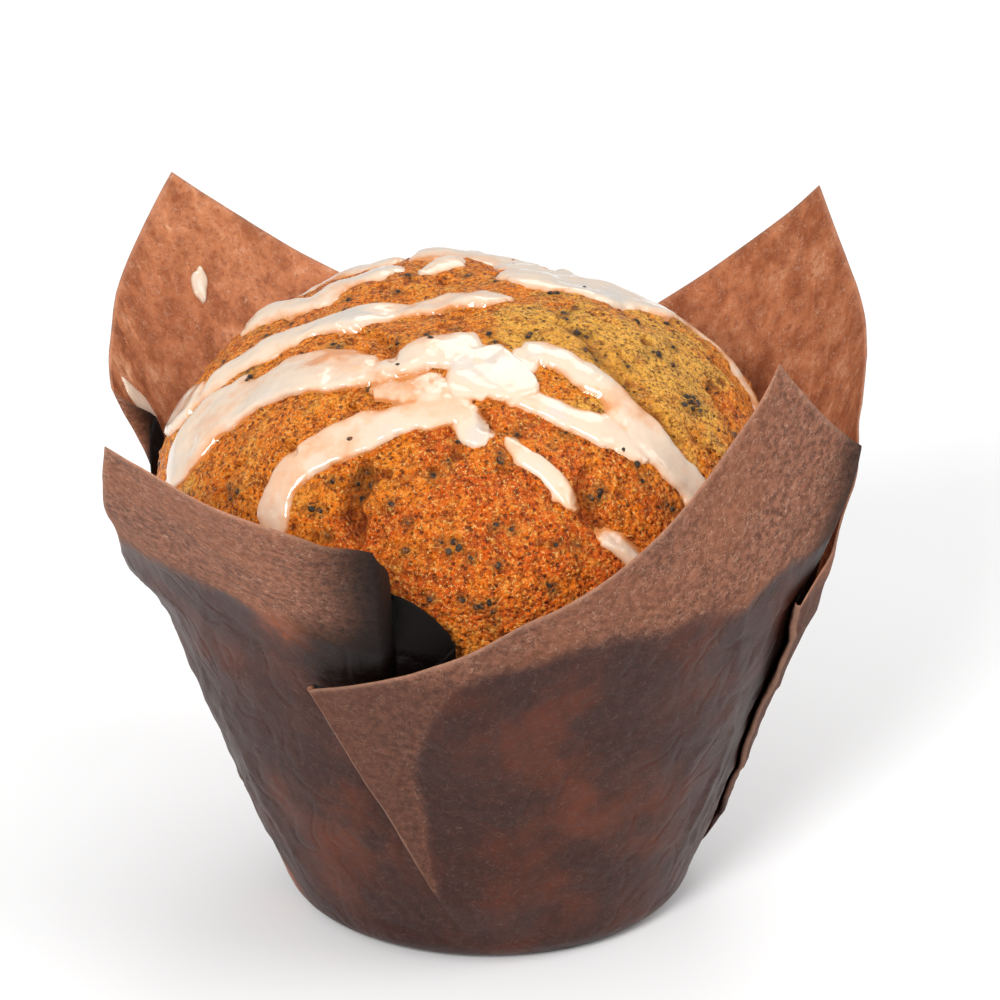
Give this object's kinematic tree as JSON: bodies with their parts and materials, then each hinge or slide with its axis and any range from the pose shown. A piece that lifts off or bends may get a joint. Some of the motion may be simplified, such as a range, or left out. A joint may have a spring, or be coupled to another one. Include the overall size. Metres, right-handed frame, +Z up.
{
  "type": "muffin",
  "caption": "Domed poppy-seed muffin with white glaze drizzled over its cracked crust, standing in a dark brown tulip paper case with pleated sides and tall pointed petals",
  "frame": {"origin": "middle of the flat bottom of the paper case, on the surface that it stands on", "axes": "+Z points up out of the case. -Y points to the side that the picture shows, with the large overlapping fold and the low inner pleat, and +X to the right-hand side of that view"},
  "size_m": [0.0912, 0.0993, 0.0778],
  "materials": {
    "greased_paper": "matte, darkened by grease where it touches the cake",
    "baked_crust": "rough baked crust with glossy white glaze lines and blue-black seeds"
  },
  "bodies": {
    "root": {"paper_case": "greased_paper", "muffin": "baked_crust"}
  },
  "joints": []
}
